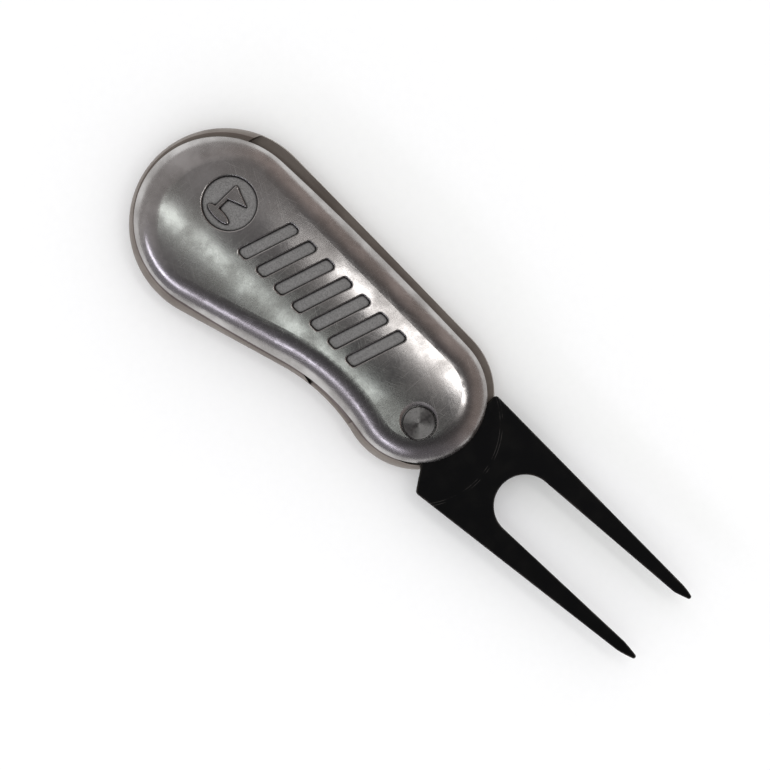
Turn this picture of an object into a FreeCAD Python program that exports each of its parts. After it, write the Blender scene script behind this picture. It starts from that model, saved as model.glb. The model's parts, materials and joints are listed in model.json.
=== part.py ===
import FreeCAD, Part
import math
import os

from FreeCAD import Vector

# Folding divot repair tool: a spring-out fork in a pebble-shaped two-part handle that also carries a
# magnetic ball marker. Lengths are in millimetres and angles in degrees.
#
# Working frame: the fork turns about Z at the origin. +X runs from the wide end of the handle to the
# prong tips, +Y is the handle's straight side and +Z is its crowned back. Z = 0 is the flat front,
# where the ball marker and the release button are. write_parts() moves everything to the row frame,
# whose origin is the middle of the open tool's footprint.

# ---- handle outline
LOBE_CENTRE = (-43.3, 0.55)
LOBE_R = 15.2
END_CENTRE = (-3.3, 3.2)
END_R = 12.0
WAIST_R = 30.0
FLANK_ANGLE = 16.4  # slope of the flat stretch between the lobe and the waist

# ---- handle section
WIDEST_Z = 3.0
FRONT_EDGE_R = 2.4
CROWN_EDGE_R = 6.0
CROWN_Z = 10.4  # highest point of the back
CROWN_X = -28.0
CROWN_Y = 1.55
CROWN_LONG_R = 400.0
CROWN_CROSS_R = 45.0
SEAM_Z = 6.66
SEAM_CHAMFER = 0.2
COVER_SHRINK = 0.45  # the back cover's wide end is smaller by this and pushed to the waisted side
COVER_END_SHRINK = 0.1  # the same for its narrow end
COVER_REACH = 0.25
LEDGE_ROUND = 1.4

# ---- fork
FORK_T = 1.6
FORK_Z = 4.82
HUB_R = 6.4
FORK_BORE_R = 3.25
SHOULDER = (5.4, 11.6)
SHOULDER_ROUND = 0.6
PRONG_END_X = 46.8  # where the prongs' blunt points begin
UPPER_PRONG_Y = (11.26, 9.5)  # outer and inner edge there
LOWER_PRONG_Y = (-3.2, -1.44)
UPPER_TIP = (2.45, 0.66)  # length of the point, and how far its nose is inside the outer edge
LOWER_TIP = (2.9, 1.15)
TIP_NOSE_BACK = 0.3
TIP_NOSE_HALF = 0.36
TIP_OUTER_BOW = 0.06
TIP_INNER_BOW = 0.02
HEEL = (7.4, -8.08)
HEEL_ROUND = 0.7
HEEL_DIRECTION = (-0.555, 0.832)  # from the heel corner back to the hub
FORK_SLOT_CENTRE = (20.9, 2.56)
FORK_SLOT_R = 4.9
FORK_SLOT_SPREAD = (4.5, 1.9)  # slopes of the slot's upper and lower side
FORK_BEVEL = 0.2
SWING = 165.0
LATCH_INNER_R = 4.3
LATCH_OUTER_R = 5.5
LATCH_HALF_ANGLE = 12.0
LATCH_ANGLE = 180.0  # where the lock tooth stands, seen from the pivot

# ---- room for the fork between the two handle parts
SLOT_FLOOR_Z = 4.6
SLOT_R = 51.2
SLOT_HUB_R = 6.6
SLOT_CLEARANCE = 0.15
STOP_GAP = 0.08

# ---- pivot, springs and release
SLEEVE_R = 3.2
SLEEVE_BORE_R = 2.6
SLEEVE_SHOULDER_R = 4.1
WEB_Z = (2.3, 3.0)
WASHER_T = 0.2
WASHER_R = 4.1
COIL_R = 5.0
COIL_WIRE_R = 0.25
COIL_TURNS = 2
COIL_PITCH = 0.51
COIL_POCKET_R = 5.7
COIL_LIFT = 0.04  # the coil's height above the web it lies on
COIL_LOW_LEG = 2.0
COIL_LEG_ROOM = 0.2
COIL_HIGH_LEG = 1.2  # length of the upper leg inside the fork
COIL_LEG_HOLE_R = 0.36
PIN_R = 2.55
PIN_FLANGE_R = 3.4
PIN_FLANGE_Z = (6.7, 7.1)
PIN_SPIGOT_R = 1.6
PIN_HOLE_R = 2.78
PIN_END_CHAMFER = 0.12
PIN_END_DROP = 0.08  # how far the pin's end sits below the crown
PIN_RIM_CHAMFER = 0.3
PIN_RIM_FLARE = 0.6  # the rim's cone goes on this far above the crown
SLEEVE_END_GAP = 0.02
WASHER_GAP = 0.02
BUTTON_R = 4.0
BUTTON_HOLE_R = 4.1
BUTTON_Z = (0.15, 1.35)
BUTTON_TRAVEL = 0.75
BUTTON_EDGE_R = 0.3
BUTTON_DISH_R = 14.0
BUTTON_DISH_DEPTH = 0.3
SPIGOT_LENGTH = 0.8
THUMB_DISH_R = 40.0
THUMB_DISH_DEPTH = 0.6

# ---- lock leaf inside the back cover
LEAF_T = 0.4
LEAF_EYE_R = 3.9
LEAF_OPEN_X = 0.5  # the eye is open toward the fork
LEAF_HOLE_R = 2.72
LEAF_WIDTH = 6.0
LEAF_CORNER_R = 1.2
LEAF_END_X = -21.0
LEAF_CLAMP_X = -13.0
LEAF_SCREW_X = (-15.3, -18.9)
TOOTH_T = 0.5
TOOTH_WIDTH = 1.6
TOOTH_BOTTOM_Z = 5.75
POCKET_CLEARANCE = 0.15

# ---- ball marker
MARKER_CENTRE = (-43.4, 0.5)
MARKER_R = 12.5
MARKER_Z = (0.1, 1.6)
MARKER_RECESS_R = 12.6
INLAY_R = 10.9
INLAY_T = 0.3
MAGNET_R = 5.0
MAGNET_T = 1.4
MARKER_EDGE_R = 0.35
INLAY_DROP = 0.05  # the inlay's face is this far inside the marker's rim
MAGNET_CHAMFER = 0.15
NAIL_NOTCH_R = 3.2
NAIL_NOTCH_DEPTH = 1.1

# ---- fasteners
CASE_SCREW_POINTS = ((-54.0, 0.9), (-37.0, -8.0), (-28.5, -7.2))
CASE_SCREW_R = 1.0
CASE_SCREW_HEAD_R = 1.9
CASE_SCREW_HEAD_T = 0.9
CASE_SCREW_HEAD_Z = 1.65
CASE_SCREW_TIP_Z = 7.9
CROSS_SIZE = (1.9, 0.45, 0.6)  # length, width and depth of one slot of the cross recess
SCREW_CLEARANCE = 0.05
BLIND_HOLE_SPARE = 0.1  # blind holes are this much deeper than what goes in them
PEG_POINTS = ((-46.0, -10.5), (-53.2, 7.0))
PEG_R = 0.9
PEG_HEIGHT = 0.9
LEAF_SCREW_R = 0.7
LEAF_SCREW_HEAD_R = 1.25
LEAF_SCREW_TIP_Z = 8.9
LEAF_SCREW_SLOT = (0.3, 0.2)  # width and depth

# ---- hollows that keep the castings' walls even
CORE_CORNER = (-26.5, -2.6, 2.2)
CORE_SIZE = (14.0, 13.0)
CORE_ROUND = 2.5
LOBE_CORE_CENTRE = (-42.5, 3.2)
LOBE_CORE_R = 7.8
LOBE_CORE_ROOF_Z = 8.4

# ---- sunk decoration on the back
SUNK_DEPTH = 0.42
SUNK_RIM_ROUND = 0.2
BADGE_CENTRE = (-44.6, 3.3)
BADGE_R = 4.3
FLAG_POLE = (-1.3, -2.3, 0.7, 5.0)  # corner from the badge's centre, width and height
FLAG_PENNANT = ((-1.0, 2.7), (-1.0, 0.1), (2.4, 1.4))  # corners from the badge's centre
FLAG_HOLE_CENTRE = (-0.1, -2.4)
FLAG_HOLE_HALF = (2.2, 0.7)
BAR_COUNT = 7
BAR_FIRST_X = -36.2
BAR_LAST_X = -12.8
BAR_MID_Y = 3.4
BAR_HEIGHT = 9.1
BAR_WIDTH = 2.1
BAR_SLANT = 18.0
BAR_ROUND = 0.6

BIG = 80.0  # longer than any cut needs to be
TOP_Z = 14.0
CROWN_TOLERANCE = 2e-3  # an edge this near the crown's surface lies on it


# ---- small geometry helpers

def edge_middle(edge):
    return edge.valueAt((edge.FirstParameter + edge.LastParameter) / 2)


def on_circle(centre, radius, angle):
    """Point at the angle on the circle, at Z = 0."""
    turn = math.radians(angle)
    return Vector(centre[0] + radius * math.cos(turn), centre[1] + radius * math.sin(turn), 0)


def turned(x, y, angle):
    """The point (x, y) turned about the pivot."""
    turn = math.radians(angle)
    return Vector(x * math.cos(turn) - y * math.sin(turn), x * math.sin(turn) + y * math.cos(turn), 0)


def line(start, end):
    return Part.LineSegment(start, end).toShape()


def arc(start, through, end):
    return Part.Arc(start, through, end).toShape()


def prism(edges, low, high):
    """The closed outline, given at Z = 0, raised from low to high."""
    face = Part.Face(Part.Wire(Part.__sortEdges__(edges)))
    face.translate(Vector(0, 0, low))
    return face.extrude(Vector(0, 0, high - low))


def polygon_prism(points, low, high):
    closed = list(points) + [points[0]]
    face = Part.Face(Part.makePolygon(closed))
    face.translate(Vector(0, 0, low))
    return face.extrude(Vector(0, 0, high - low))


def disc(centre, radius, low, high):
    return Part.makeCylinder(radius, high - low, Vector(centre[0], centre[1], low))


def ring(centre, outer, inner, low, high):
    return disc(centre, outer, low, high).cut(disc(centre, inner, low, high))


def slab(low, high):
    return Part.makeBox(4 * BIG, 4 * BIG, high - low, Vector(-2 * BIG, -2 * BIG, low))


def flat_edges(shape, z):
    """Edges of the shape that lie in the plane at this height."""
    return [e for e in shape.Edges if abs(e.BoundBox.ZMin - z) < 1e-3 and abs(e.BoundBox.ZMax - z) < 1e-3]


def upright_edges(shape):
    """Straight edges of the shape that run parallel to Z."""
    return [e for e in shape.Edges if len(e.Vertexes) == 2
            and abs(e.Vertexes[0].X - e.Vertexes[1].X) < 1e-6
            and abs(e.Vertexes[0].Y - e.Vertexes[1].Y) < 1e-6]


def rounded_upright(shape, radius):
    """The prism with its upright corners rounded."""
    return shape.makeFillet(radius, upright_edges(shape))


def corner_edge(shape, x, y):
    """The upright edge nearest to (x, y)."""
    return min(upright_edges(shape), key=lambda e: math.hypot(e.Vertexes[0].X - x, e.Vertexes[0].Y - y))


# ---- handle

def two_circles(shrink, end_shrink, reach):
    """Centres and radii of the outline's two round ends, shrunk toward the waisted side."""
    lobe = (LOBE_CENTRE[0] - reach, LOBE_CENTRE[1] - shrink)
    end = (END_CENTRE[0] + reach, END_CENTRE[1] - end_shrink)
    return lobe, LOBE_R - shrink, end, END_R - end_shrink


def waist_centre(lobe, lobe_r, end, end_r):
    """Centre of the waist arc, which touches the flank line and the end circle from outside."""
    flank = math.radians(FLANK_ANGLE)
    along = (math.cos(flank), math.sin(flank))
    base = on_circle(lobe, lobe_r + WAIST_R, FLANK_ANGLE - 90)
    px = base.x - end[0]
    py = base.y - end[1]
    half = px * along[0] + py * along[1]
    reach = end_r + WAIST_R
    step = -half - math.sqrt(half ** 2 - (px ** 2 + py ** 2 - reach ** 2))
    return (base.x + step * along[0], base.y + step * along[1])


def handle_outline(shrink=0.0, end_shrink=0.0, reach=0.0):
    """Widest outline of the handle: two round ends, a straight side and a waisted side."""
    lobe, lobe_r, end, end_r = two_circles(shrink, end_shrink, reach)
    dx = end[0] - lobe[0]
    dy = end[1] - lobe[1]
    side = math.degrees(math.atan2(dy, dx) + math.acos((lobe_r - end_r) / math.hypot(dx, dy)))
    lobe_top = on_circle(lobe, lobe_r, side)
    end_top = on_circle(end, end_r, side)
    flank_start = on_circle(lobe, lobe_r, FLANK_ANGLE - 90)
    waist = waist_centre(lobe, lobe_r, end, end_r)
    flank_end = on_circle(waist, WAIST_R, FLANK_ANGLE + 90)
    to_end = math.degrees(math.atan2(end[1] - waist[1], end[0] - waist[0]))
    waist_end = on_circle(waist, WAIST_R, to_end)
    waist_mid = on_circle(waist, WAIST_R, (FLANK_ANGLE + 90 + to_end) / 2)
    return [
        line(end_top, lobe_top),
        arc(lobe_top, on_circle(lobe, lobe_r, 180), flank_start),
        line(flank_start, flank_end),
        arc(flank_end, waist_mid, waist_end),
        arc(waist_end, on_circle(end, end_r, 0), end_top),
    ]


def crown_axis_angle():
    """Direction of the handle's ridge, from the lobe's centre to the end's centre."""
    return math.degrees(math.atan2(END_CENTRE[1] - LOBE_CENTRE[1], END_CENTRE[0] - LOBE_CENTRE[0]))


def crown_height(x, y):
    """Height of the crowned back over a point away from its rounded edge."""
    turn = math.radians(-crown_axis_angle())
    along = (x - CROWN_X) * math.cos(turn) - (y - CROWN_Y) * math.sin(turn)
    across = (x - CROWN_X) * math.sin(turn) + (y - CROWN_Y) * math.cos(turn)
    swept = CROWN_LONG_R - CROWN_CROSS_R + math.sqrt(CROWN_CROSS_R ** 2 - across ** 2)
    return CROWN_Z - CROWN_LONG_R + math.sqrt(swept ** 2 - along ** 2)


def under_crown(drop):
    """Everything below the crowned back lowered by drop: an arc swept along a longer arc."""
    half_width = 26.0
    half_sweep = 8.0
    rise = math.sqrt(CROWN_CROSS_R ** 2 - half_width ** 2)
    low_z = -30.0
    arc_z = CROWN_Z - CROWN_CROSS_R - drop
    left = Vector(0, -half_width, arc_z + rise)
    top = Vector(0, 0, CROWN_Z - drop)
    right = Vector(0, half_width, arc_z + rise)
    section = Part.Face(Part.Wire([
        arc(left, top, right),
        line(right, Vector(0, half_width, low_z)),
        line(Vector(0, half_width, low_z), Vector(0, -half_width, low_z)),
        line(Vector(0, -half_width, low_z), left),
    ]))
    axis_point = Vector(0, 0, CROWN_Z - CROWN_LONG_R - drop)
    section.rotate(axis_point, Vector(0, 1, 0), -half_sweep)
    solid = section.revolve(axis_point, Vector(0, 1, 0), 2 * half_sweep)
    solid.rotate(Vector(), Vector(0, 0, 1), crown_axis_angle())
    solid.translate(Vector(CROWN_X, CROWN_Y, 0))
    return solid


def pebble(*smaller):
    """The closed handle as one rounded body before it is parted at the seam, or a smaller one."""
    blank = prism(handle_outline(*smaller), 0, TOP_Z).common(under_crown(0))
    crown_rim = [e for e in blank.Edges if e.BoundBox.ZMin > WIDEST_Z]
    blank = blank.makeFillet(CROWN_EDGE_R, crown_rim)
    return blank.makeFillet(FRONT_EDGE_R, flat_edges(blank, 0))


def fork_room(low, high):
    """Space swept by the fork between open and folded, with the two faces that stop it."""
    heel = Vector(HEEL[0] - STOP_GAP * HEEL_DIRECTION[1], HEEL[1] + STOP_GAP * HEEL_DIRECTION[0], 0)
    to_hub = Vector(HEEL_DIRECTION[0], HEEL_DIRECTION[1], 0)
    into_hub = 5.0
    stop_x = SHOULDER[0] - STOP_GAP
    edge_y = SHOULDER[1] + SLOT_CLEARANCE
    points = [
        Vector(0, 0, 0),
        heel + to_hub * into_hub,
        heel - to_hub * BIG,
        Vector(BIG, -BIG, 0),
        Vector(BIG, BIG, 0),
        Vector(-BIG, BIG, 0),
        turned(BIG, edge_y, SWING),
        turned(stop_x, edge_y, SWING),
        turned(stop_x, SLEEVE_R, SWING),
    ]
    swept = polygon_prism(points, low, high).common(disc((0, 0), SLOT_R, low, high))
    return swept.fuse(disc((0, 0), SLOT_HUB_R, low, high))


def marker_seat():
    """Recess for the ball marker with its nail notch, and the pocket of its magnet."""
    seat = disc(MARKER_CENTRE, MARKER_RECESS_R, -1, MARKER_Z[1])
    notch_centre = (MARKER_CENTRE[0], MARKER_CENTRE[1] - MARKER_RECESS_R)
    notch = disc(notch_centre, NAIL_NOTCH_R, -1, NAIL_NOTCH_DEPTH)
    magnet = disc(MARKER_CENTRE, MAGNET_R, MARKER_Z[1], MARKER_Z[1] + MAGNET_T)
    return seat.fuse(notch).fuse(magnet)


def case_screw_holes():
    """Counterbored, countersunk clearance holes through the front case."""
    holes = []
    head_end_z = CASE_SCREW_HEAD_Z + CASE_SCREW_HEAD_T
    for point in CASE_SCREW_POINTS:
        bore = disc(point, CASE_SCREW_HEAD_R + SCREW_CLEARANCE, -1, CASE_SCREW_HEAD_Z)
        sink = Part.makeCone(CASE_SCREW_HEAD_R + SCREW_CLEARANCE, CASE_SCREW_R + SCREW_CLEARANCE,
                             CASE_SCREW_HEAD_T, Vector(point[0], point[1], CASE_SCREW_HEAD_Z))
        shank = disc(point, CASE_SCREW_R + SCREW_CLEARANCE, head_end_z, SEAM_Z + 1)
        holes.append(bore.fuse(sink).fuse(shank))
    return holes


def pivot_cuts():
    """Thumb dish, button hole, sleeve hole and spring pocket, all on the pivot axis."""
    dish = Part.makeSphere(THUMB_DISH_R, Vector(0, 0, THUMB_DISH_DEPTH - THUMB_DISH_R))
    button_hole = disc((0, 0), BUTTON_HOLE_R, -1, WEB_Z[0])
    sleeve_hole = disc((0, 0), SLEEVE_R, WEB_Z[0], WEB_Z[1])
    coil_pocket = disc((0, 0), COIL_POCKET_R, WEB_Z[1], SEAM_Z)
    leg_z = WEB_Z[1] + COIL_WIRE_R + COIL_LEG_HOLE_R
    leg_reach = COIL_R + COIL_LOW_LEG + COIL_LEG_ROOM
    leg_groove = Part.makeBox(2 * COIL_LEG_HOLE_R, leg_reach, leg_z + COIL_LEG_HOLE_R - WEB_Z[1],
                              Vector(-COIL_LEG_HOLE_R, 0, WEB_Z[1]))
    return [dish, button_hole, sleeve_hole, coil_pocket, leg_groove]


def core_pocket():
    """Pocket cored out of the front case between the hub and the ball marker."""
    block = Part.makeBox(CORE_SIZE[0], CORE_SIZE[1], SEAM_Z, Vector(*CORE_CORNER))
    return rounded_upright(block, CORE_ROUND)


def ledge_rounding():
    """Cuts the upper edge of the case round where the slot is open."""
    floor = prism(handle_outline(), 0, SLOT_FLOOR_Z)
    floor = floor.makeFillet(LEDGE_ROUND, flat_edges(floor, SLOT_FLOOR_Z))
    return fork_room(SLOT_FLOOR_Z - LEDGE_ROUND, SLOT_FLOOR_Z).cut(floor)


def front_case():
    """Lower half of the handle, whose raised spine carries the back cover and stops the fork."""
    case = pebble().common(slab(-1, SEAM_Z))
    case = case.makeChamfer(SEAM_CHAMFER, flat_edges(case, SEAM_Z))
    case = case.cut(fork_room(SLOT_FLOOR_Z, SEAM_Z + 1))
    case = case.cut(ledge_rounding())
    case = case.cut(marker_seat()).cut(core_pocket())
    for tool in pivot_cuts() + case_screw_holes():
        case = case.cut(tool)
    for point in PEG_POINTS:
        case = case.fuse(disc(point, PEG_R, SEAM_Z - 1, SEAM_Z + PEG_HEIGHT))
    return case


def slanted_bar(x):
    """Outline prism of one slanted bar of the sunk pattern, standing at x."""
    half = BAR_HEIGHT / 2
    lean = half * math.tan(math.radians(BAR_SLANT))
    wide = BAR_WIDTH / 2
    corners = [
        Vector(x - lean - wide, BAR_MID_Y - half, 0),
        Vector(x - lean + wide, BAR_MID_Y - half, 0),
        Vector(x + lean + wide, BAR_MID_Y + half, 0),
        Vector(x + lean - wide, BAR_MID_Y + half, 0),
    ]
    return rounded_upright(polygon_prism(corners, SEAM_Z, TOP_Z), BAR_ROUND)


def flag_badge():
    """Round badge with a flag in its hole left standing inside it."""
    cx, cy = BADGE_CENTRE
    badge = disc(BADGE_CENTRE, BADGE_R, SEAM_Z, TOP_Z)
    pole_x, pole_y, pole_width, pole_height = FLAG_POLE
    pole = Part.makeBox(pole_width, pole_height, TOP_Z, Vector(cx + pole_x, cy + pole_y, 0))
    pennant = polygon_prism([Vector(cx + x, cy + y, 0) for x, y in FLAG_PENNANT], 0, TOP_Z)
    stretch = FreeCAD.Matrix()
    stretch.scale(Vector(FLAG_HOLE_HALF[0], FLAG_HOLE_HALF[1], 1))
    hole_rim = disc((0, 0), 1.0, 0, TOP_Z).transformGeometry(stretch)
    hole_rim.translate(Vector(cx + FLAG_HOLE_CENTRE[0], cy + FLAG_HOLE_CENTRE[1], 0))
    return badge.cut(pole.fuse(pennant).fuse(hole_rim))


def sunk_pattern():
    """Cutting tools of the decoration; their floor is the crown lowered by SUNK_DEPTH."""
    below = under_crown(SUNK_DEPTH)
    pitch = (BAR_LAST_X - BAR_FIRST_X) / (BAR_COUNT - 1)
    outlines = [flag_badge()]
    for index in range(BAR_COUNT):
        outlines.append(slanted_bar(BAR_FIRST_X + index * pitch))
    return [outline.cut(below) for outline in outlines]


def leaf_pocket():
    """Room inside the back cover for the lock leaf, for the pin's flange and for their lift."""
    low = SEAM_Z - 1
    leaf_top = PIN_FLANGE_Z[1] + LEAF_T
    lift_roof = leaf_top + BUTTON_TRAVEL + POCKET_CLEARANCE / 2
    half = LEAF_EYE_R + POCKET_CLEARANCE
    open_x = LEAF_OPEN_X + POCKET_CLEARANCE
    reach = -LEAF_END_X + POCKET_CLEARANCE
    flange_roof = PIN_FLANGE_Z[1] + BUTTON_TRAVEL + POCKET_CLEARANCE
    flange = disc((0, 0), PIN_FLANGE_R + POCKET_CLEARANCE, low, flange_roof)
    lift = Part.makeBox(open_x - LEAF_CLAMP_X, 2 * half, lift_roof - low, Vector(LEAF_CLAMP_X, -half, low))
    clamp = Part.makeBox(reach, 2 * half, leaf_top - low, Vector(-reach, -half, low))
    return flange.fuse(lift).fuse(clamp)


def pin_hole():
    """Hole of the release pin's visible end, with its chamfered rim."""
    rim_z = crown_height(0, 0)
    bore = disc((0, 0), PIN_HOLE_R, SEAM_Z, TOP_Z)
    rise = PIN_RIM_CHAMFER + PIN_RIM_FLARE
    rim = Part.makeCone(PIN_HOLE_R, PIN_HOLE_R + rise, rise, Vector(0, 0, rim_z - PIN_RIM_CHAMFER))
    return bore.fuse(rim)


def sunk_rims(cover):
    """Edges where the sunk pattern meets the crown."""
    left = BADGE_CENTRE[0] - 2 * BADGE_R
    right = BAR_LAST_X + BAR_WIDTH + BAR_HEIGHT / 2
    rims = []
    for edge in cover.Edges:
        middle = edge.BoundBox.Center
        if not left < middle.x < right or abs(middle.y - BAR_MID_Y) > BAR_HEIGHT:
            continue
        point = edge_middle(edge)
        if abs(point.z - crown_height(point.x, point.y)) < CROWN_TOLERANCE:
            rims.append(edge)
    return rims


def back_cover():
    """Crowned upper half of the handle with the sunk pattern and the pin hole."""
    cover = pebble(COVER_SHRINK, COVER_END_SHRINK, COVER_REACH).common(slab(SEAM_Z, TOP_Z))
    cover = cover.makeChamfer(SEAM_CHAMFER, flat_edges(cover, SEAM_Z))
    lobe_core = disc(LOBE_CORE_CENTRE, LOBE_CORE_R, SEAM_Z - 1, LOBE_CORE_ROOF_Z)
    cover = cover.cut(leaf_pocket()).cut(lobe_core).cut(pin_hole())
    for point in CASE_SCREW_POINTS:
        cover = cover.cut(disc(point, CASE_SCREW_R, SEAM_Z - 1, CASE_SCREW_TIP_Z + BLIND_HOLE_SPARE))
    for point in PEG_POINTS:
        peg_hole_top = SEAM_Z + PEG_HEIGHT + BLIND_HOLE_SPARE
        cover = cover.cut(disc(point, PEG_R + SCREW_CLEARANCE, SEAM_Z - 1, peg_hole_top))
    for x in LEAF_SCREW_X:
        cover = cover.cut(disc((x, 0), LEAF_SCREW_R, SEAM_Z, LEAF_SCREW_TIP_Z + BLIND_HOLE_SPARE))
    for tool in sunk_pattern():
        cover = cover.cut(tool)
    return cover.makeFillet(SUNK_RIM_ROUND, sunk_rims(cover))


# ---- fork

def bulged(start, end, away):
    """Shallow arc from start to end, bowed by away in Y at its middle."""
    middle = (start + end) * 0.5
    return arc(start, Vector(middle.x, middle.y + away, 0), end)


def prong_tip(outer, inner, reach, drop):
    """Blunt pointed end: its nose is reach beyond the prong and drop inside the outer edge."""
    side = 1 if outer.y > inner.y else -1
    nose = Vector(outer.x + reach, outer.y - side * drop, 0)
    outer_end = Vector(nose.x - TIP_NOSE_BACK, nose.y + side * TIP_NOSE_HALF, 0)
    inner_end = Vector(nose.x - TIP_NOSE_BACK, nose.y - side * TIP_NOSE_HALF, 0)
    return [
        bulged(outer, outer_end, side * TIP_OUTER_BOW),
        arc(outer_end, nose, inner_end),
        bulged(inner_end, inner, -side * TIP_INNER_BOW),
    ]


def latch_window(angle):
    """Window in the hub for the lock tooth, a piece of a ring about the pivot."""
    sector = polygon_prism([
        Vector(0, 0, 0),
        turned(2 * HUB_R, 0, angle - LATCH_HALF_ANGLE),
        turned(2 * HUB_R, 0, angle + LATCH_HALF_ANGLE),
    ], FORK_Z - 1, FORK_Z + FORK_T + 1)
    return sector.common(ring((0, 0), LATCH_OUTER_R, LATCH_INNER_R, FORK_Z - 1, FORK_Z + FORK_T + 1))


def fork_outline():
    """Outline of the open fork: hub, shoulder, two tapering prongs and the heel."""
    shoulder = Vector(SHOULDER[0], SHOULDER[1], 0)
    heel = Vector(HEEL[0], HEEL[1], 0)
    hub_high = Vector(SHOULDER[0], math.sqrt(HUB_R ** 2 - SHOULDER[0] ** 2), 0)
    back = HEEL[0] * HEEL_DIRECTION[0] + HEEL[1] * HEEL_DIRECTION[1]
    step = -back - math.sqrt(back ** 2 - (HEEL[0] ** 2 + HEEL[1] ** 2 - HUB_R ** 2))
    hub_low = Vector(HEEL[0] + step * HEEL_DIRECTION[0], HEEL[1] + step * HEEL_DIRECTION[1], 0)
    upper_outer, upper_inner = [Vector(PRONG_END_X, y, 0) for y in UPPER_PRONG_Y]
    lower_outer, lower_inner = [Vector(PRONG_END_X, y, 0) for y in LOWER_PRONG_Y]
    root_high = on_circle(FORK_SLOT_CENTRE, FORK_SLOT_R, 90 + FORK_SLOT_SPREAD[0])
    root_low = on_circle(FORK_SLOT_CENTRE, FORK_SLOT_R, 270 + FORK_SLOT_SPREAD[1])
    root_back = on_circle(FORK_SLOT_CENTRE, FORK_SLOT_R, 180)
    edges = [line(hub_high, shoulder), line(shoulder, upper_outer)]
    edges += prong_tip(upper_outer, upper_inner, *UPPER_TIP)
    edges += [line(upper_inner, root_high), arc(root_high, root_back, root_low), line(root_low, lower_inner)]
    edges += prong_tip(lower_outer, lower_inner, *LOWER_TIP)
    edges += [line(lower_outer, heel), line(heel, hub_low), arc(hub_low, Vector(-HUB_R, 0, 0), hub_high)]
    return edges


def fork():
    """Flat two-pronged fork with its hub, bevelled round the edge."""
    plate = prism(fork_outline(), FORK_Z, FORK_Z + FORK_T)
    plate = plate.makeFillet(SHOULDER_ROUND, [corner_edge(plate, SHOULDER[0], SHOULDER[1])])
    plate = plate.makeFillet(HEEL_ROUND, [corner_edge(plate, HEEL[0], HEEL[1])])
    rims = flat_edges(plate, FORK_Z) + flat_edges(plate, FORK_Z + FORK_T)
    plate = plate.makeChamfer(FORK_BEVEL, rims)
    plate = plate.cut(disc((0, 0), FORK_BORE_R, 0, TOP_Z))
    plate = plate.cut(latch_window(LATCH_ANGLE)).cut(latch_window(LATCH_ANGLE - SWING))
    return plate.cut(disc((0, COIL_R), COIL_LEG_HOLE_R, 0, TOP_Z))


# ---- pivot and release parts

def pivot_sleeve():
    """Stepped steel tube pressed in the front case; the fork turns on it."""
    shoulder = disc((0, 0), SLEEVE_SHOULDER_R, WEB_Z[1], SLOT_FLOOR_Z)
    tube = disc((0, 0), SLEEVE_R, WEB_Z[0], SEAM_Z - SLEEVE_END_GAP)
    return tube.fuse(shoulder).cut(disc((0, 0), SLEEVE_BORE_R, 0, TOP_Z))


def washer(low):
    """Thin brass ring between the hub and the handle."""
    return ring((0, 0), WASHER_R, FORK_BORE_R, low, low + WASHER_T)


def torsion_spring():
    """Round-wire coil under the hub: one leg in the case, the other up in the fork."""
    start_z = WEB_Z[1] + COIL_WIRE_R + COIL_LIFT
    coil_height = COIL_TURNS * COIL_PITCH
    helix = Part.makeHelix(COIL_PITCH, coil_height, COIL_R)
    section = Part.Wire(Part.makeCircle(COIL_WIRE_R, Vector(COIL_R, 0, 0), Vector(0, 1, 0)))
    coil = Part.Wire(helix).makePipeShell([section], True, True)
    coil.rotate(Vector(), Vector(0, 0, 1), 90)
    coil.translate(Vector(0, 0, start_z))
    low_bend = Vector(0, COIL_R, start_z)
    high_bend = Vector(0, COIL_R, start_z + coil_height)
    low_leg = Part.makeCylinder(COIL_WIRE_R, COIL_LOW_LEG, low_bend, Vector(0, 1, 0))
    high_leg = Part.makeCylinder(COIL_WIRE_R, FORK_Z + COIL_HIGH_LEG - high_bend.z, high_bend)
    spring = coil.fuse([Part.makeSphere(COIL_WIRE_R, low_bend), low_leg])
    return spring.fuse([Part.makeSphere(COIL_WIRE_R, high_bend), high_leg])


def lock_spring():
    """Leaf spring with an open eye and a bent tooth; the pin's flange lifts it out of the fork."""
    low = PIN_FLANGE_Z[1]
    eye = disc((0, 0), LEAF_EYE_R, low, low + LEAF_T)
    opening = Part.makeBox(LEAF_EYE_R, 2 * LEAF_EYE_R, 2 * LEAF_T,
                           Vector(LEAF_OPEN_X, -LEAF_EYE_R, low - LEAF_T / 2))
    eye = eye.cut(opening)
    strip_length = -LEAF_END_X - LEAF_HOLE_R
    strip = Part.makeBox(strip_length, LEAF_WIDTH, LEAF_T, Vector(LEAF_END_X, -LEAF_WIDTH / 2, low))
    strip = rounded_upright(strip, LEAF_CORNER_R)
    tooth_x = -(LATCH_INNER_R + LATCH_OUTER_R + TOOTH_T) / 2
    tooth = Part.makeBox(TOOTH_T, TOOTH_WIDTH, low - TOOTH_BOTTOM_Z + LEAF_T / 2,
                         Vector(tooth_x, -TOOTH_WIDTH / 2, TOOTH_BOTTOM_Z))
    leaf = eye.fuse(strip).fuse(tooth).cut(disc((0, 0), LEAF_HOLE_R, low - 1, low + 2))
    for x in LEAF_SCREW_X:
        leaf = leaf.cut(disc((x, 0), LEAF_SCREW_R + SCREW_CLEARANCE, low - 1, low + 2))
    return leaf.removeSplitter()


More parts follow.
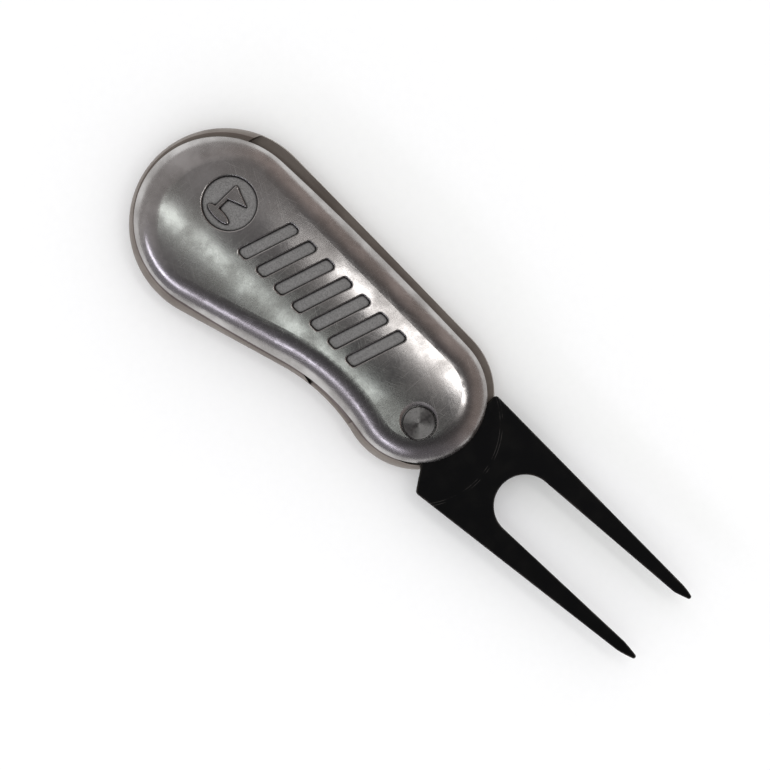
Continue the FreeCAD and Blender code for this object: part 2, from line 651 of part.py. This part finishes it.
def lock_spring_screws():
    """Two small pan-head screws that hold the leaf to the back cover."""
    low = PIN_FLANGE_Z[1] - LEAF_T
    screws = []
    for x in LEAF_SCREW_X:
        head = disc((x, 0), LEAF_SCREW_HEAD_R, low, PIN_FLANGE_Z[1])
        shank = disc((x, 0), LEAF_SCREW_R, PIN_FLANGE_Z[1], LEAF_SCREW_TIP_Z)
        slot = Part.makeBox(LEAF_SCREW_SLOT[0], 3 * LEAF_SCREW_HEAD_R, LEAF_SCREW_SLOT[1],
                            Vector(x - LEAF_SCREW_SLOT[0] / 2, -1.5 * LEAF_SCREW_HEAD_R, low))
        screws.append(head.fuse(shank).cut(slot))
    return Part.makeCompound(screws)


def release_pin():
    """Turned pin through the sleeve: its flat end shows in the back cover."""
    end_z = crown_height(PIN_R, 0) - PIN_END_DROP
    shaft = disc((0, 0), PIN_R, BUTTON_Z[1], end_z)
    shaft = shaft.makeChamfer(PIN_END_CHAMFER, flat_edges(shaft, end_z))
    flange = disc((0, 0), PIN_FLANGE_R, PIN_FLANGE_Z[0], PIN_FLANGE_Z[1])
    spigot = disc((0, 0), PIN_SPIGOT_R, BUTTON_Z[1] - SPIGOT_LENGTH, BUTTON_Z[1])
    return shaft.fuse(flange).fuse(spigot)


def release_button():
    """Round push button with a dished face, pressed on the pin's lower end."""
    body = disc((0, 0), BUTTON_R, BUTTON_Z[0], BUTTON_Z[1])
    body = body.makeFillet(BUTTON_EDGE_R, flat_edges(body, BUTTON_Z[0]))
    dish = Part.makeSphere(BUTTON_DISH_R, Vector(0, 0, BUTTON_Z[0] + BUTTON_DISH_DEPTH - BUTTON_DISH_R))
    spigot_hole = disc((0, 0), PIN_SPIGOT_R, BUTTON_Z[1] - SPIGOT_LENGTH, BUTTON_Z[1])
    return body.cut(dish).cut(spigot_hole)


# ---- ball marker and fasteners

def ball_marker():
    """Steel disc with a raised rim round its inlay."""
    body = disc(MARKER_CENTRE, MARKER_R, MARKER_Z[0], MARKER_Z[1])
    body = body.makeFillet(MARKER_EDGE_R, flat_edges(body, MARKER_Z[0]))
    return body.cut(disc(MARKER_CENTRE, INLAY_R, 0, MARKER_Z[0] + INLAY_T))


def marker_inlay():
    """Enamelled disc set in the marker's face."""
    return disc(MARKER_CENTRE, INLAY_R, MARKER_Z[0] + INLAY_DROP, MARKER_Z[0] + INLAY_T)


def marker_magnet():
    """Disc magnet glued in the front case, behind the marker."""
    magnet = disc(MARKER_CENTRE, MAGNET_R, MARKER_Z[1], MARKER_Z[1] + MAGNET_T)
    return magnet.makeChamfer(MAGNET_CHAMFER, flat_edges(magnet, MARKER_Z[1] + MAGNET_T))


def case_screws():
    """Three identical countersunk screws with cross recesses."""
    screws = []
    for x, y in CASE_SCREW_POINTS:
        head = Part.makeCone(CASE_SCREW_HEAD_R, CASE_SCREW_R, CASE_SCREW_HEAD_T,
                             Vector(x, y, CASE_SCREW_HEAD_Z))
        shank = disc((x, y), CASE_SCREW_R, CASE_SCREW_HEAD_Z + CASE_SCREW_HEAD_T, CASE_SCREW_TIP_Z)
        screw = head.fuse(shank)
        length, width, depth = CROSS_SIZE
        for dx, dy in ((length, width), (width, length)):
            corner = Vector(x - dx / 2, y - dy / 2, CASE_SCREW_HEAD_Z)
            screw = screw.cut(Part.makeBox(dx, dy, depth, corner))
        screws.append(screw)
    return Part.makeCompound(screws)


def all_parts():
    """Every separate piece, or set of identical fasteners, under its name."""
    return {
        "front_case": front_case(),
        "back_cover": back_cover(),
        "fork": fork(),
        "pivot_sleeve": pivot_sleeve(),
        "lower_washer": washer(SLOT_FLOOR_Z),
        "upper_washer": washer(FORK_Z + FORK_T + WASHER_GAP),
        "torsion_spring": torsion_spring(),
        "lock_spring": lock_spring(),
        "lock_spring_screws": lock_spring_screws(),
        "release_pin": release_pin(),
        "release_button": release_button(),
        "ball_marker": ball_marker(),
        "marker_inlay": marker_inlay(),
        "marker_magnet": marker_magnet(),
        "case_screws": case_screws(),
    }


def write_parts():
    """Centre the open tool's footprint on the origin and write one STEP file per part."""
    parts = all_parts()
    left = LOBE_CENTRE[0] - LOBE_R
    right = parts["fork"].BoundBox.XMax
    shift = Vector(-(left + right) / 2, -LOBE_CENTRE[1], 0)
    os.makedirs("parts", exist_ok=True)
    for name, shape in parts.items():
        shape.translate(shift)
        shape.exportStep(f"parts/{name}.step")


write_parts()
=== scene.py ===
import json
import math

import bmesh
import bpy
from mathutils import Matrix, Vector


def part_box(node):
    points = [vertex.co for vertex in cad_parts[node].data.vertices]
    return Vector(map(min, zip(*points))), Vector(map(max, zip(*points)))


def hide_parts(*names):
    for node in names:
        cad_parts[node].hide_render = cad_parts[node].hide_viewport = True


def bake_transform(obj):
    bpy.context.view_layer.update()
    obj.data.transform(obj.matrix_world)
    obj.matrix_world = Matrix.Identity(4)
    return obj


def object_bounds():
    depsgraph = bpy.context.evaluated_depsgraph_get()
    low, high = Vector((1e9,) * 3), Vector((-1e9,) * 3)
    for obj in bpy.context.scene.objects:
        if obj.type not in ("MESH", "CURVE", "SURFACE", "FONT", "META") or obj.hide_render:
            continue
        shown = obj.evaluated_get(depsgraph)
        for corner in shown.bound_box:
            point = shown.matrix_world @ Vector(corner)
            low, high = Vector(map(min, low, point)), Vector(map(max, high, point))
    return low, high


# Materials, floor, lights and camera for the folding divot repair tool. Lengths are in metres; the
# texture nodes work in millimetres, because texture_mm() scales the coordinates first.

MM = 0.001
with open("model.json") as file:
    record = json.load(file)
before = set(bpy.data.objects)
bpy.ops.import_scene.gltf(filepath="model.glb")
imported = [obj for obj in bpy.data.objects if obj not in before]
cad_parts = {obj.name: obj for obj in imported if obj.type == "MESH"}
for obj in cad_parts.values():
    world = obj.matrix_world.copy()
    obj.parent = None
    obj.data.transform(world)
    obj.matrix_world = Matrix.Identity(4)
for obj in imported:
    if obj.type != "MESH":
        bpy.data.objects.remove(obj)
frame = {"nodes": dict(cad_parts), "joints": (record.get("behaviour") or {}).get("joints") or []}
START_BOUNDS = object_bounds()
NODES = frame["nodes"]


def joint(name):
    """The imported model's joint of that name."""
    return next(j for j in frame["joints"] if j["name"] == name)


PIVOT = Vector(joint("fork_swing")["pos_m"])
TOOL_LOW, TOOL_HIGH = START_BOUNDS
TOOL_LENGTH = TOOL_HIGH.x - TOOL_LOW.x

# Shape of the crowned back: an arc across the handle swept along a longer arc.
CROWN_LONG_R = 400 * MM
CROWN_CROSS_R = 45 * MM
CROWN_TOP = PIVOT.xy + Vector((-28 * MM, 1.55 * MM))
RIDGE_TURN = math.atan2(2.65, 40)  # direction of the ridge, from +X toward +Y

# Place of the sunk pattern, and how far under the crown a face counts as its floor or its wall.
PATTERN_LEFT = PIVOT.x - 49.3 * MM
PATTERN_RIGHT = PIVOT.x - 7 * MM
PATTERN_MID_Y = PIVOT.y + 3.4 * MM
PATTERN_HALF = 6 * MM
PATTERN_LOW_Z = 8.6 * MM
FLOOR_DEPTH = 0.36 * MM
WALL_DEPTH = 0.06 * MM

# Springs: the leaf bends between two places counted from the pivot, the coil between the top of
# its lower leg (one wire up from its underside) and the underside of its last turn.
LEAF_CLAMP_X = -13 * MM
LEAF_LIFT_X = -4 * MM
LEAF_ROWS = 8
COIL_WIRE = 0.5 * MM
COIL_RISE = 1.02 * MM
COIL_ROWS = 6

# Where the handle has rubbed the fork's coating, in millimetres from the pivot.
RUB_RADIUS = 12.9
RUB_HALF_WIDTHS = (0.2, 0.5)  # full strength inside the first, gone at the second

# Colours, as (dark, light) pairs or single tones.
CASE_TONES = (0.225, 0.194, 0.172), (0.268, 0.234, 0.208)
COVER_TONES = (0.36, 0.345, 0.335), (0.56, 0.545, 0.535)
SUNK_FLOOR_TONES = (0.25, 0.247, 0.243), (0.45, 0.445, 0.44)
# The sunk walls' near-black tones are painted shade.
SUNK_WALL_SHADE_TONES = (0.035, 0.033, 0.032), (0.09, 0.085, 0.08)
# Near-black colour of the painted shade in the sunk pattern's corners.
CREVICE_PAINTED_SHADE = (0.012, 0.011, 0.011)
COATING_TONES = (0.0035, 0.0035, 0.004), (0.008, 0.0075, 0.007)
COATED_EDGE_TONES = (0.012, 0.011, 0.010), (0.05, 0.044, 0.038)
RUBBED_STEEL = (0.22, 0.20, 0.19)
PIN_TONE = (0.30, 0.29, 0.286)
BUTTON_TONE = (0.56, 0.55, 0.54)
MARKER_TONE = (0.68, 0.68, 0.68)
ENAMEL_TONES = (0.008, 0.052, 0.031), (0.010, 0.066, 0.039)
MAGNET_TONE = (0.62, 0.60, 0.56)
BRASS_TONE = (0.72, 0.56, 0.28)
SPRING_TONE = (0.36, 0.36, 0.38)
SCREW_TONE = (0.52, 0.52, 0.51)
PAPER_TONES = (0.93, 0.93, 0.93), (0.96, 0.96, 0.96)

# What the metal mirrors, by direction.
SKY_OVERHEAD = (0.040, 0.038, 0.041)
SKY_OVER_WIDE_END = (0.42, 0.40, 0.40)
WALL_AT_WAISTED_SIDE = (0.21, 0.20, 0.22)
WALL_AT_STRAIGHT_SIDE = (0.38, 0.32, 0.30)
WALL_AT_WIDE_END = (0.46, 0.44, 0.44)
GROUND_BELOW = (0.80, 0.79, 0.78)
PLAIN_SKY = (0.93, 0.93, 0.93)

# Paper under the tool: its gap, and how far from the tool it starts to stop rays.
FLOOR_GAP = 0.02 * MM
FLOOR_REACH = 5 * MM

# Camera: lens and sensor in millimetres, the rest in tool lengths.
LENS = 100.0
SENSOR = 36.0
VIEW_WIDTH = 1.11
VIEW_CENTRE = (-0.0321, -0.001)


# ---- node helpers

def new_material(name):
    """An empty node material with a Principled shader: returns (material, tree, shader)."""
    material = bpy.data.materials.new(name)
    material.use_nodes = True
    tree = material.node_tree
    return material, tree, tree.nodes["Principled BSDF"]


def put(tree, socket, value):
    """Feeds an input with another node's output or with a plain value."""
    if isinstance(value, bpy.types.NodeSocket):
        tree.links.new(value, socket)
    else:
        socket.default_value = value


def texture_mm(tree, scale=(1, 1, 1), turn=0.0, origin=(0, 0, 0)):
    """Object coordinates in millimetres, counted from origin, turned about Z and then scaled."""
    coords = tree.nodes.new("ShaderNodeTexCoord").outputs["Object"]
    moved = tree.nodes.new("ShaderNodeVectorMath")
    moved.operation = "SUBTRACT"
    put(tree, moved.inputs[0], coords)
    moved.inputs[1].default_value = origin
    mapping = tree.nodes.new("ShaderNodeMapping")
    mapping.vector_type = "POINT"
    put(tree, mapping.inputs["Vector"], moved.outputs[0])
    mapping.inputs["Rotation"].default_value = (0, 0, turn)
    spread = tree.nodes.new("ShaderNodeVectorMath")
    spread.operation = "MULTIPLY"
    put(tree, spread.inputs[0], mapping.outputs[0])
    spread.inputs[1].default_value = [s / MM for s in scale]
    return spread.outputs[0]


def noise(tree, vector, scale, detail=3.0, rough=0.5):
    """Cloudy pattern between 0 and 1; scale is its fineness per unit of the vector."""
    node = tree.nodes.new("ShaderNodeTexNoise")
    put(tree, node.inputs["Vector"], vector)
    node.inputs["Scale"].default_value = scale
    node.inputs["Detail"].default_value = detail
    node.inputs["Roughness"].default_value = rough
    return node.outputs["Fac"]


def remap(tree, value, low, high, to_low=0.0, to_high=1.0):
    """Smoothly maps low..high of the value to to_low..to_high."""
    node = tree.nodes.new("ShaderNodeMapRange")
    node.interpolation_type = "SMOOTHSTEP"
    put(tree, node.inputs["Value"], value)
    node.inputs["From Min"].default_value = low
    node.inputs["From Max"].default_value = high
    node.inputs["To Min"].default_value = to_low
    node.inputs["To Max"].default_value = to_high
    return node.outputs["Result"]


def maths(tree, operation, a, b=0.0, c=0.0):
    """One arithmetic node."""
    node = tree.nodes.new("ShaderNodeMath")
    node.operation = operation
    for socket, value in zip(node.inputs, (a, b, c)):
        put(tree, socket, value)
    return node.outputs[0]


def blend(tree, share, first, second):
    """Colour between first (share 0) and second (share 1)."""
    node = tree.nodes.new("ShaderNodeMix")
    node.data_type = "RGBA"
    put(tree, node.inputs["Factor"], share)
    for name, colour in (("A", first), ("B", second)):
        plain = not isinstance(colour, bpy.types.NodeSocket)
        put(tree, node.inputs[name], (*colour, 1) if plain else colour)
    return node.outputs["Result"]


def bump(tree, height, distance, strength=1.0, normal=None):
    """Normal tilted by the slopes of a height pattern; distance is its depth in metres."""
    node = tree.nodes.new("ShaderNodeBump")
    put(tree, node.inputs["Height"], height)
    node.inputs["Distance"].default_value = distance
    node.inputs["Strength"].default_value = strength
    if normal is not None:
        put(tree, node.inputs["Normal"], normal)
    return node.outputs["Normal"]


def distance_to(tree, centre):
    """Distance in millimetres from an upright axis through the centre."""
    node = tree.nodes.new("ShaderNodeVectorMath")
    node.operation = "LENGTH"
    flat = texture_mm(tree, (1, 1, 0), 0.0, centre)
    put(tree, node.inputs[0], flat)
    return node.outputs["Value"]


# ---- materials

def scratches(tree, count=3, fine=11.0, stretch=0.16, share=0.66):
    """Thin straight marks in a few directions, 1 on a mark and 0 elsewhere."""
    total = None
    for index in range(count):
        turn = 0.5 + index * 1.13
        lines = noise(tree, texture_mm(tree, (stretch, fine, 1), turn), 1.0, 1.0)
        marks = remap(tree, lines, share, share + 0.05)
        total = marks if total is None else maths(tree, "MAXIMUM", total, marks)
    return total


def cast_metal(name, dark, light, rough):
    """Satin-polished plated casting: cloudy tone, fine scratches, uneven polish."""
    material, tree, shader = new_material(name)
    clouds = noise(tree, texture_mm(tree), 0.16, 4.0, 0.55)
    grain = noise(tree, texture_mm(tree), 3.5, 3.0, 0.6)
    marks = scratches(tree)
    tone = blend(tree, remap(tree, clouds, 0.35, 0.68), dark, light)
    bare = tuple(min(1, 1.3 * c) for c in light)
    tone = blend(tree, maths(tree, "MULTIPLY", marks, 0.2), tone, bare)
    put(tree, shader.inputs["Base Color"], tone)
    shader.inputs["Metallic"].default_value = 1.0
    polish = remap(tree, clouds, 0.3, 0.7, rough + 0.06, rough - 0.05)
    polish = maths(tree, "MULTIPLY_ADD", grain, 0.10, polish)
    put(tree, shader.inputs["Roughness"], maths(tree, "MULTIPLY_ADD", marks, 0.05, polish))
    wave = noise(tree, texture_mm(tree), 0.22, 2.0)
    normal = bump(tree, wave, 0.04 * MM, 0.5)
    normal = bump(tree, grain, 0.004 * MM, 0.6, normal)
    put(tree, shader.inputs["Normal"], normal)
    return material


def painted_crevice_shade(tree, reach):
    """Mask for painted shade: 1 in the corners of a recess and 0 out in the open; reach is in metres."""
    node = tree.nodes.new("ShaderNodeAmbientOcclusion")
    node.inputs["Distance"].default_value = reach
    node.samples = 12
    node.only_local = True
    return remap(tree, node.outputs["AO"], 0.62, 0.95, 1.0, 0.0)


def blasted_metal(name, dark, light):
    """Matt, grainy metal of the sunk pattern, with painted shade darkening its corners."""
    material, tree, shader = new_material(name)
    grain = noise(tree, texture_mm(tree), 5.0, 4.0, 0.65)
    tone = blend(tree, remap(tree, grain, 0.35, 0.65), dark, light)
    # Painted shade: an ambient-occlusion mask darkens the recess corners of the floors and walls.
    tone = blend(tree, painted_crevice_shade(tree, 0.45 * MM), tone, CREVICE_PAINTED_SHADE)
    put(tree, shader.inputs["Base Color"], tone)
    shader.inputs["Metallic"].default_value = 0.8
    put(tree, shader.inputs["Roughness"], remap(tree, grain, 0.3, 0.7, 0.5, 0.68))
    put(tree, shader.inputs["Normal"], bump(tree, grain, 0.03 * MM, 0.8))
    return material


def coated_steel(name, base, worn, share):
    """Near-black coating: faint grain, and rub arcs about the pivot where the case has touched it."""
    material, tree, shader = new_material(name)
    grain = noise(tree, texture_mm(tree), 6.0, 3.0, 0.6)
    wide = noise(tree, texture_mm(tree), 0.35, 3.0)
    radius = distance_to(tree, PIVOT)
    rings = maths(tree, "SINE", maths(tree, "MULTIPLY", radius, 16.0))
    off = maths(tree, "ABSOLUTE", maths(tree, "SUBTRACT", radius, RUB_RADIUS))
    near = remap(tree, off, RUB_HALF_WIDTHS[0], RUB_HALF_WIDTHS[1], 1.0, 0.0)
    patchy = remap(tree, noise(tree, texture_mm(tree), 0.5, 2.0), 0.42, 0.6)
    rub = maths(tree, "MULTIPLY", maths(tree, "MULTIPLY", remap(tree, rings, 0.8, 1.0), near), patchy)
    tone = blend(tree, remap(tree, wide, 0.4, 0.75, 0.0, share), base, worn)
    tone = blend(tree, maths(tree, "MULTIPLY", rub, 0.3), tone, RUBBED_STEEL)
    put(tree, shader.inputs["Base Color"], tone)
    shader.inputs["Metallic"].default_value = 0.6
    shader.inputs["Specular IOR Level"].default_value = 0.2
    put(tree, shader.inputs["Roughness"], remap(tree, grain, 0.3, 0.7, 0.36, 0.50))
    put(tree, shader.inputs["Normal"], bump(tree, grain, 0.004 * MM, 0.5))
    return material


def turned_metal(name, tone, centre, pitch, rough):
    """Bright metal with circular tool marks about an upright axis."""
    material, tree, shader = new_material(name)
    radius = distance_to(tree, centre)
    wobble = noise(tree, texture_mm(tree), 1.2, 2.0)
    cut = maths(tree, "MULTIPLY_ADD", wobble, 0.6, maths(tree, "MULTIPLY", radius, 2 * math.pi / pitch))
    groove = maths(tree, "SINE", cut)
    dirt = noise(tree, texture_mm(tree), 2.0, 4.0)
    dull = tuple(c * 0.88 for c in tone)
    put(tree, shader.inputs["Base Color"], blend(tree, remap(tree, dirt, 0.35, 0.75), dull, tone))
    shader.inputs["Metallic"].default_value = 1.0
    put(tree, shader.inputs["Roughness"], remap(tree, dirt, 0.3, 0.7, rough - 0.04, rough + 0.08))
    put(tree, shader.inputs["Normal"], bump(tree, groove, 0.0006 * MM, 0.8))
    around = tree.nodes.new("ShaderNodeTangent")
    around.direction_type = "RADIAL"
    around.axis = "Z"
    put(tree, shader.inputs["Tangent"], around.outputs["Tangent"])
    shader.inputs["Anisotropic"].default_value = 0.85
    return material


def drawn_metal(name, tone, rough, stretch=(0.4, 8, 8)):
    """Plain metal with a drawn or rolled grain."""
    material, tree, shader = new_material(name)
    grain = noise(tree, texture_mm(tree, stretch), 1.0, 3.0)
    spots = noise(tree, texture_mm(tree), 1.5, 4.0)
    dull = tuple(c * 0.78 for c in tone)
    put(tree, shader.inputs["Base Color"], blend(tree, remap(tree, spots, 0.35, 0.7), dull, tone))
    shader.inputs["Metallic"].default_value = 1.0
    put(tree, shader.inputs["Roughness"], remap(tree, grain, 0.3, 0.7, rough - 0.06, rough + 0.10))
    put(tree, shader.inputs["Normal"], bump(tree, grain, 0.006 * MM, 0.6))
    return material


def enamel(name, dark, light):
    """Fired enamel of the ball marker: glossy with a slight ripple."""
    material, tree, shader = new_material(name)
    cloud = noise(tree, texture_mm(tree), 0.3, 3.0)
    put(tree, shader.inputs["Base Color"], blend(tree, remap(tree, cloud, 0.3, 0.7), dark, light))
    put(tree, shader.inputs["Roughness"], remap(tree, cloud, 0.3, 0.7, 0.16, 0.26))
    shader.inputs["Coat Weight"].default_value = 0.5
    put(tree, shader.inputs["Normal"], bump(tree, cloud, 0.02 * MM, 0.4))
    return material


def wear(node, material):
    """Gives a CAD node one material on all its faces."""
    mesh = NODES[node].data
    mesh.materials.clear()
    mesh.materials.append(material)
    for face in mesh.polygons:
        face.material_index = 0


def crown_height(x, y, top):
    """Height of the crowned back over a point, from the back's highest level."""
    dx = x - CROWN_TOP.x
    dy = y - CROWN_TOP.y
    along = dx * math.cos(RIDGE_TURN) + dy * math.sin(RIDGE_TURN)
    across = dy * math.cos(RIDGE_TURN) - dx * math.sin(RIDGE_TURN)
    swept = CROWN_LONG_R - CROWN_CROSS_R + math.sqrt(CROWN_CROSS_R ** 2 - across ** 2)
    return top - CROWN_LONG_R + math.sqrt(swept ** 2 - along ** 2)


def dress_cover(crown, floor, wall):
    """The cover's crown, the floors of its sunk pattern and their walls, painted near-black as shade."""
    mesh = NODES["back_cover"].data
    mesh.materials.clear()
    for material in (crown, floor, wall):
        mesh.materials.append(material)
    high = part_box("back_cover")[1]
    for face in mesh.polygons:
        at = face.center
        face.material_index = 0
        beside = not PATTERN_LEFT < at.x < PATTERN_RIGHT or abs(at.y - PATTERN_MID_Y) >= PATTERN_HALF
        if beside or at.z <= PATTERN_LOW_Z:
            continue
        drop = crown_height(at.x, at.y, high.z) - at.z
        if drop > FLOOR_DEPTH and face.normal.z > 0.8:
            face.material_index = 1
        # Walls of the sunk pattern get the third material, painted near-black as shade.
        elif drop > WALL_DEPTH and abs(face.normal.z) < 0.5:
            face.material_index = 2


def dress_fork(flat, edge):
    """The fork's flat faces and its bevelled, slightly worn edges."""
    mesh = NODES["fork"].data
    mesh.materials.clear()
    mesh.materials.append(flat)
    mesh.materials.append(edge)
    for face in mesh.polygons:
        face.material_index = 0 if abs(face.normal.z) > 0.95 else 1


def bending_spring(node, name, start, end, rows, material):
    """Copy of a CAD spring, cut into rows from start to end, that takes the CAD spring's place."""
    mesh = NODES[node].data.copy()
    shape = bmesh.new()
    shape.from_mesh(mesh)
    for row in range(rows + 1):
        everything = shape.verts[:] + shape.edges[:] + shape.faces[:]
        place = start.lerp(end, row / rows)
        bmesh.ops.bisect_plane(shape, geom=everything, plane_co=place, plane_no=end - start)
    shape.to_mesh(mesh)
    shape.free()
    mesh.materials.clear()
    mesh.materials.append(material)
    piece = bpy.data.objects.new(name, mesh)
    bpy.context.scene.collection.objects.link(piece)
    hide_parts(node)
    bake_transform(piece)


def bend_springs(material):
    """The leaf is clamped behind its tooth; the coil's legs stand in the case and in the fork."""
    clamped = PIVOT + Vector((LEAF_CLAMP_X, 0, 0))
    lifted = PIVOT + Vector((LEAF_LIFT_X, 0, 0))
    bending_spring("lock_spring", "bending_leaf", clamped, lifted, LEAF_ROWS, material)
    coil_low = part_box("torsion_spring")[0].z
    lower_leg = Vector((PIVOT.x, PIVOT.y, coil_low + COIL_WIRE))
    upper_leg = Vector((PIVOT.x, PIVOT.y, coil_low + COIL_RISE))
    bending_spring("torsion_spring", "winding_coil", lower_leg, upper_leg, COIL_ROWS, material)


def dress_handle():
    """The two cast halves of the handle."""
    wear("front_case", cast_metal("cast_zinc", *CASE_TONES, 0.40))
    dress_cover(cast_metal("cast_zinc_satin", *COVER_TONES, 0.17),
                blasted_metal("sunk_floor", *SUNK_FLOOR_TONES),
                # walls of the sunk pattern: near-black painted shade
                blasted_metal("sunk_wall_painted_shade", *SUNK_WALL_SHADE_TONES))


def dress_pivot():
    """Fork, pin, button, washers and springs."""
    dress_fork(coated_steel("black_oxide_steel", *COATING_TONES, 0.6),
               coated_steel("black_oxide_edge", *COATED_EDGE_TONES, 0.8))
    pin = turned_metal("turned_steel", PIN_TONE, PIVOT, 0.32, 0.30)
    wear("pivot_sleeve", pin)
    wear("release_pin", pin)
    wear("release_button", turned_metal("button_zinc", BUTTON_TONE, PIVOT, 0.24, 0.26))
    brass = drawn_metal("washer_brass", BRASS_TONE, 0.30)
    wear("lower_washer", brass)
    wear("upper_washer", brass)
    spring = drawn_metal("spring_steel", SPRING_TONE, 0.34)
    wear("torsion_spring", spring)
    wear("lock_spring", spring)
    bend_springs(spring)


def dress_marker():
    """Ball marker, its inlay and its magnet."""
    marker_low, marker_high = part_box("ball_marker")
    middle = (marker_low + marker_high) / 2
    wear("ball_marker", turned_metal("marker_steel", MARKER_TONE, middle, 0.5, 0.18))
    wear("marker_inlay", enamel("marker_enamel", *ENAMEL_TONES))
    wear("marker_magnet", drawn_metal("magnet_nickel", MAGNET_TONE, 0.24, (2, 2, 2)))


def dress_screws():
    """Screws of the handle and of the leaf spring."""
    screws = drawn_metal("screw_steel", SCREW_TONE, 0.32, (3, 3, 3))
    wear("case_screws", screws)
    wear("lock_spring_screws", screws)


# ---- stage

def paper_floor():
    """A large pale sheet under the tool. From below it is see-through, and so it is for short rays
    from the tool itself, so that the flat front can be looked at and is lit from below."""
    side = 30 * TOOL_LENGTH
    mesh = bpy.data.meshes.new("floor")
    corners = [(-side, -side, 0), (side, -side, 0), (side, side, 0), (-side, side, 0)]
    drop = Vector((0, 0, TOOL_LOW.z - FLOOR_GAP))
    mesh.from_pydata([Vector(corner) + drop for corner in corners], [], [(0, 1, 2, 3)])
    floor = bpy.data.objects.new("floor", mesh)
    bpy.context.scene.collection.objects.link(floor)
    material, tree, shader = new_material("paper")
    grain = noise(tree, texture_mm(tree), 0.8, 3.0)
    put(tree, shader.inputs["Base Color"], blend(tree, grain, *PAPER_TONES))
    put(tree, shader.inputs["Roughness"], remap(tree, grain, 0.3, 0.7, 0.85, 0.95))
    rays = tree.nodes.new("ShaderNodeLightPath")
    touching = maths(tree, "LESS_THAN", rays.outputs["Ray Length"], FLOOR_REACH)
    below = tree.nodes.new("ShaderNodeNewGeometry").outputs["Backfacing"]
    see_through = tree.nodes.new("ShaderNodeMixShader")
    put(tree, see_through.inputs[0], maths(tree, "MAXIMUM", touching, below))
    put(tree, see_through.inputs[1], shader.outputs[0])
    put(tree, see_through.inputs[2], tree.nodes.new("ShaderNodeBsdfTransparent").outputs[0])
    put(tree, tree.nodes["Material Output"].inputs["Surface"], see_through.outputs[0])
    mesh.materials.append(material)


def soft_lamp(name, place, size, power, colour):
    """Rectangular lamp, long along X, that faces the handle's length; place is in tool lengths from
    the middle of the handle's back, and size and power are in metres and watts."""
    lamp = bpy.data.lights.new(name, "AREA")
    lamp.shape = "RECTANGLE"
    lamp.size, lamp.size_y = size
    lamp.energy = power
    lamp.color = colour
    aim = Vector(((TOOL_LOW.x + PIVOT.x) / 2, 0, TOOL_HIGH.z))
    offset = Vector(place) * TOOL_LENGTH
    back = Vector((0, offset.y, offset.z)).normalized()
    along = Vector((1, 0, 0))
    obj = bpy.data.objects.new(name, lamp)
    turn = Matrix((along, back.cross(along), back)).transposed().to_4x4()
    obj.matrix_world = Matrix.Translation(aim + offset) @ turn
    bpy.context.scene.collection.objects.link(obj)


def sky():
    """Dim surroundings for the metal to mirror, darkest overhead. Paper and camera see an even pale sky."""
    world = bpy.data.worlds.new("studio")
    bpy.context.scene.world = world
    world.use_nodes = True
    world.cycles.sampling_method = "NONE"
    tree = world.node_tree
    back = tree.nodes["Background"]
    coords = tree.nodes.new("ShaderNodeTexCoord").outputs["Generated"]
    split = tree.nodes.new("ShaderNodeSeparateXYZ")
    put(tree, split.inputs[0], coords)
    across = remap(tree, split.outputs["Y"], -0.5, 0.5)
    walls = blend(tree, across, WALL_AT_WAISTED_SIDE, WALL_AT_STRAIGHT_SIDE)
    walls = blend(tree, remap(tree, split.outputs["X"], -0.75, -0.25), WALL_AT_WIDE_END, walls)
    forward = remap(tree, split.outputs["X"], -0.42, -0.04)
    overhead = blend(tree, forward, SKY_OVER_WIDE_END, SKY_OVERHEAD)
    up = remap(tree, split.outputs["Z"], 0.35, 0.95)
    mirrored = blend(tree, up, walls, overhead)
    below = remap(tree, split.outputs["Z"], -0.3, -0.05, 1.0, 0.0)
    mirrored = blend(tree, below, mirrored, GROUND_BELOW)
    rays = tree.nodes.new("ShaderNodeLightPath")
    plain = maths(tree, "MAXIMUM", rays.outputs["Is Diffuse Ray"], rays.outputs["Is Camera Ray"])
    put(tree, back.inputs["Color"], blend(tree, plain, mirrored, PLAIN_SKY))
    back.inputs["Strength"].default_value = 1.0


def studio():
    """Lamps as (along, across, up) in tool lengths: straight side, waisted side, low waisted side."""
    paper_floor()
    sky()
    soft_lamp("key", (0.80, 1.25, 3.9), (0.25, 0.055), 0.185, (1.0, 0.98, 0.97))
    soft_lamp("mint", (-0.20, -1.0, 4.0), (0.30, 0.06), 0.09, (0.92, 1.0, 0.96))
    soft_lamp("lilac", (0.0, -3.7, 1.9), (0.55, 0.05), 0.26, (0.88, 0.85, 1.0))


def camera():
    """Almost straight down, with the handle at the upper left and the prongs at the lower right."""
    data = bpy.data.cameras.new("camera")
    data.lens = LENS
    data.sensor_width = SENSOR
    target = Vector((VIEW_CENTRE[0] * TOOL_LENGTH, VIEW_CENTRE[1] * TOOL_LENGTH, PIVOT.z))
    distance = VIEW_WIDTH * TOOL_LENGTH * LENS / SENSOR
    right = Vector((1, 1, 0)).normalized()
    up = Vector((-1, 1, 0)).normalized()
    back = right.cross(up)
    obj = bpy.data.objects.new("camera", data)
    turn = Matrix((right, up, back)).transposed().to_4x4()
    obj.matrix_world = Matrix.Translation(target + back * distance) @ turn
    data.clip_start = 0.01
    data.clip_end = 10.0
    bpy.context.scene.collection.objects.link(obj)
    bpy.context.scene.camera = obj


dress_handle()
dress_pivot()
dress_marker()
dress_screws()
studio()
camera()
bpy.context.scene.view_settings.view_transform = "Standard"
